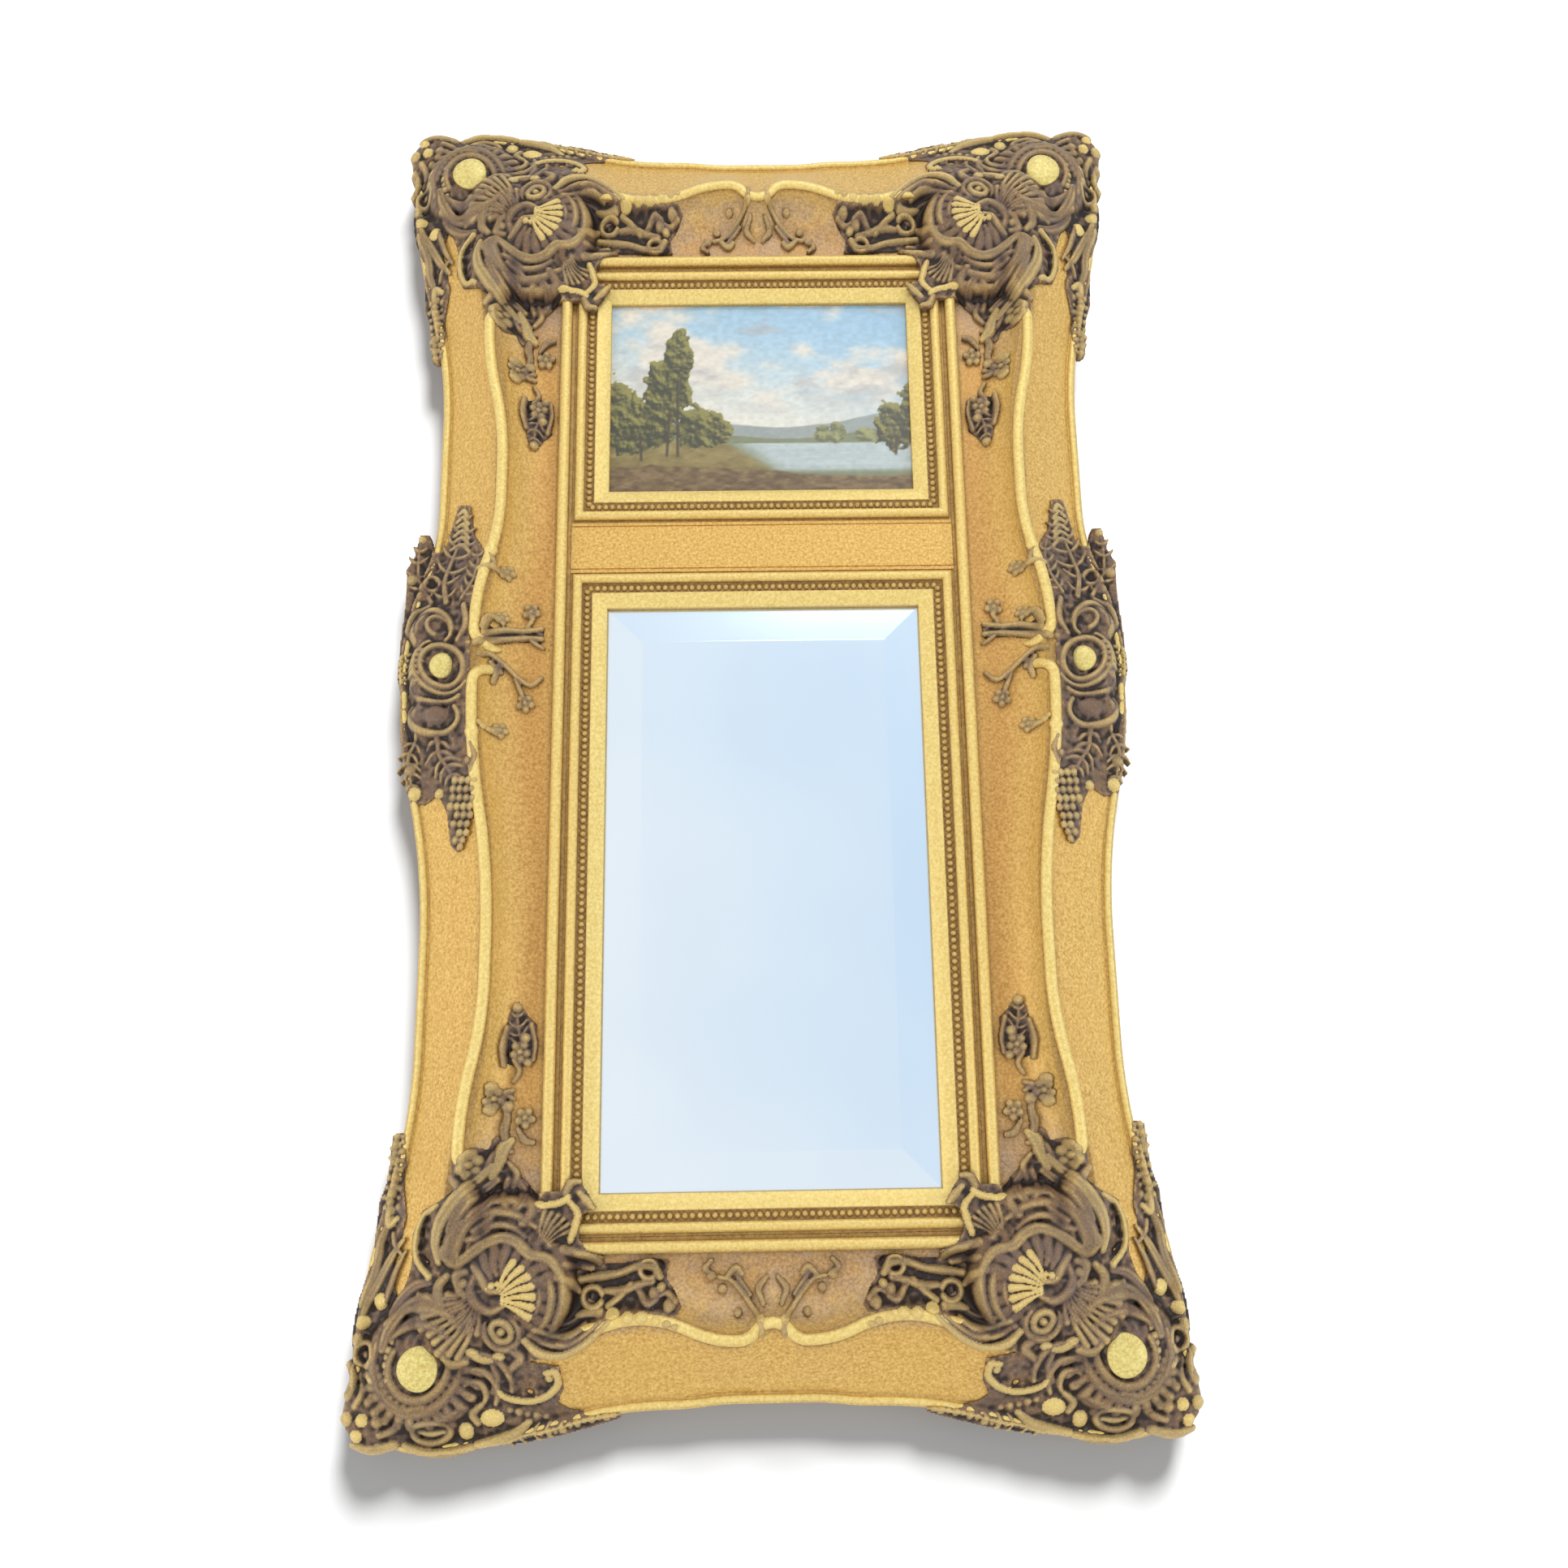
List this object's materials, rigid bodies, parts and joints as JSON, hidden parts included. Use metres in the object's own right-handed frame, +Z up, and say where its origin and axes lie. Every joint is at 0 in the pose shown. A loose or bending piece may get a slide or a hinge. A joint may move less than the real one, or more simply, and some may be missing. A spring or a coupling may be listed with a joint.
{
  "type": "trumeau mirror",
  "caption": "Tall gilt wall mirror with a painted panel above a bevelled glass, in a swept moulding with cast shell ornament, hung by rings.",
  "frame": {"origin": "on the wall plane, midway between the two hanging rings, at the height of their pins", "axes": "+X the viewer's right, +Z up, front faces -Y, the wall is the plane y = 0 and lies behind, towards +Y"},
  "size_m": [0.616, 0.08, 1.103],
  "materials": {
    "gilt_wood": "antiqued metal leaf on gesso, fine mottling",
    "bright_gilding": "burnished bright gold leaf",
    "cast_ornament": "cast composition, gilded and glazed umber in the hollows",
    "pale_cabochon": "smooth pale gold",
    "mirror": "silvered glass with a wide bevel",
    "painted_panel": null,
    "hardboard": "plain brown hardboard",
    "zinc_steel": "zinc-plated",
    "rubber": "matt black"
  },
  "bodies": {
    "frame": {"bottom_rail": "gilt_wood", "corner_cabochons": "pale_cabochon", "corner_cartouches": "cast_ornament", "corner_shells": "cast_ornament", "cove_pendants": "cast_ornament", "frieze_rail": "gilt_wood", "hanger_screws": "zinc_steel", "hanger_straps": "zinc_steel", "left_stile": "gilt_wood", "mirror_backing_board": "hardboard", "mirror_glass": "mirror", "mirror_points": "zinc_steel", "mirror_slip_bottom": "bright_gilding", "mirror_slip_left": "bright_gilding", "mirror_slip_right": "bright_gilding", "mirror_slip_top": "bright_gilding", "mitre_brackets": "cast_ornament", "mitre_v_nails": "zinc_steel", "painting_backing_board": "hardboard", "painting_panel": "painted_panel", "painting_points": "zinc_steel", "painting_slip_bottom": "bright_gilding", "painting_slip_left": "bright_gilding", "painting_slip_right": "bright_gilding", "painting_slip_top": "bright_gilding", "rail_ribs": "bright_gilding", "rail_sprays": "cast_ornament", "right_stile": "gilt_wood", "side_cabochons": "pale_cabochon", "side_cartouches": "cast_ornament", "side_sprigs": "cast_ornament", "slip_points": "zinc_steel", "stile_ribs": "bright_gilding", "top_rail": "gilt_wood", "wall_bumpers": "rubber"},
    "left_ring_body": {"left_hanger_ring": "zinc_steel"},
    "right_ring_body": {"right_hanger_ring": "zinc_steel"}
  },
  "joints": [
    {"name": "left_ring_swing", "type": "hinge", "parent": "frame", "child": "left_ring_body", "pos_m": [-0.194, -0.0032, 0], "axis": [1, 0, 0], "range_deg": [0, 180]},
    {"name": "right_ring_swing", "type": "hinge", "parent": "frame", "child": "right_ring_body", "pos_m": [0.194, -0.0032, 0], "axis": [1, 0, 0], "range_deg": [0, 180]}
  ]
}
